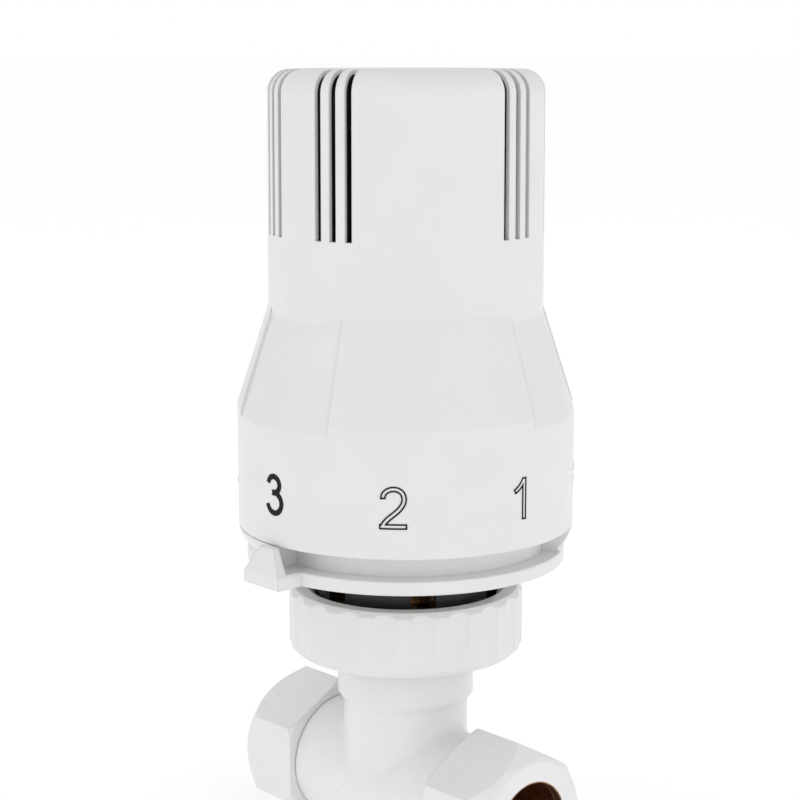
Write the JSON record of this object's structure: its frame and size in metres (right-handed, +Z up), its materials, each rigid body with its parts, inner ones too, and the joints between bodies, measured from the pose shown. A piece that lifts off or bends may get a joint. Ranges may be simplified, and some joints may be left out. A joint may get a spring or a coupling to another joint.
{
  "type": "thermostatic radiator valve",
  "caption": "Straight radiator valve with compression pipe ends, a ribbed union nut and a vented rotary sensor head whose numbered skirt turns past a fixed pointer.",
  "frame": {"origin": "centre of the inlet nut's end face, on the pipe axis; the spindle axis is 30.8 mm back along -X", "axes": "+X out of the inlet along the pipe, +Z up the spindle towards the sensor head, pointer towards -Y"},
  "size_m": [0.0616, 0.0598, 0.136],
  "materials": {
    "white_gloss_plastic": "moulded, glossy white",
    "white_lacquer": "brass lacquered glossy white",
    "black_plastic": "moulded, glossy black",
    "black_ink": "printed, satin black",
    "brass": "machined",
    "copper": "copper, slightly browned",
    "steel": "drawn and polished",
    "rubber": "moulded, matt",
    "grey_plastic": "moulded, satin grey",
    "capsule_metal": "drawn, satin"
  },
  "bodies": {
    "valve": {"valve_body": "white_lacquer", "valve_insert": "brass", "insert_o_ring": "rubber", "gland_nut": "brass", "spindle_o_ring": "rubber", "inlet_olive": "copper", "outlet_olive": "copper", "head_base": "black_plastic", "pointer_ring": "white_gloss_plastic"},
    "handwheel": {"handwheel": "white_gloss_plastic", "scale_digits": "black_ink"},
    "sensor": {"sensor_carrier": "grey_plastic", "sensor_capsule": "capsule_metal", "sensor_pin": "steel", "spring_cup": "grey_plastic", "overtravel_spring": "steel", "push_rod": "grey_plastic"},
    "spindle": {"valve_spindle": "steel", "spindle_clip": "steel", "valve_disc": "brass", "disc_seal": "rubber", "return_spring": "steel"},
    "union_nut": {"union_nut": "white_gloss_plastic"},
    "inlet_nut": {"inlet_nut": "white_lacquer"},
    "outlet_nut": {"outlet_nut": "white_lacquer"}
  },
  "joints": [
    {"name": "handwheel_turn", "type": "hinge", "parent": "valve", "child": "handwheel", "pos_m": [-0.0308, 0, 0.085], "axis": [0, 0, 1], "range_deg": [-140, 88]},
    {"name": "sensor_slide", "type": "slide", "parent": "handwheel", "child": "sensor", "axis": [0, 0, 1], "range_m": [-0.0015, 0.00094]},
    {"name": "spindle_slide", "type": "slide", "parent": "valve", "child": "spindle", "axis": [0, 0, 1], "range_m": [-0.0015, 0.00094], "deforming": ["return_spring"]},
    {"name": "union_nut_turn", "type": "hinge", "parent": "valve", "child": "union_nut", "pos_m": [-0.0308, 0, 0.03], "axis": [0, 0, 1], "continuous": true},
    {"name": "inlet_nut_turn", "type": "hinge", "parent": "valve", "child": "inlet_nut", "pos_m": [-0.007, 0, 0], "axis": [1, 0, 0], "continuous": true},
    {"name": "outlet_nut_turn", "type": "hinge", "parent": "valve", "child": "outlet_nut", "pos_m": [-0.0546, 0, 0], "axis": [-1, 0, 0], "continuous": true}
  ],
  "couplings": [
    {"joint": "sensor_slide", "follows": "handwheel_turn", "m_per_rad": 0.00061388},
    {"joint": "spindle_slide", "follows": "handwheel_turn", "m_per_rad": 0.00061388}
  ]
}
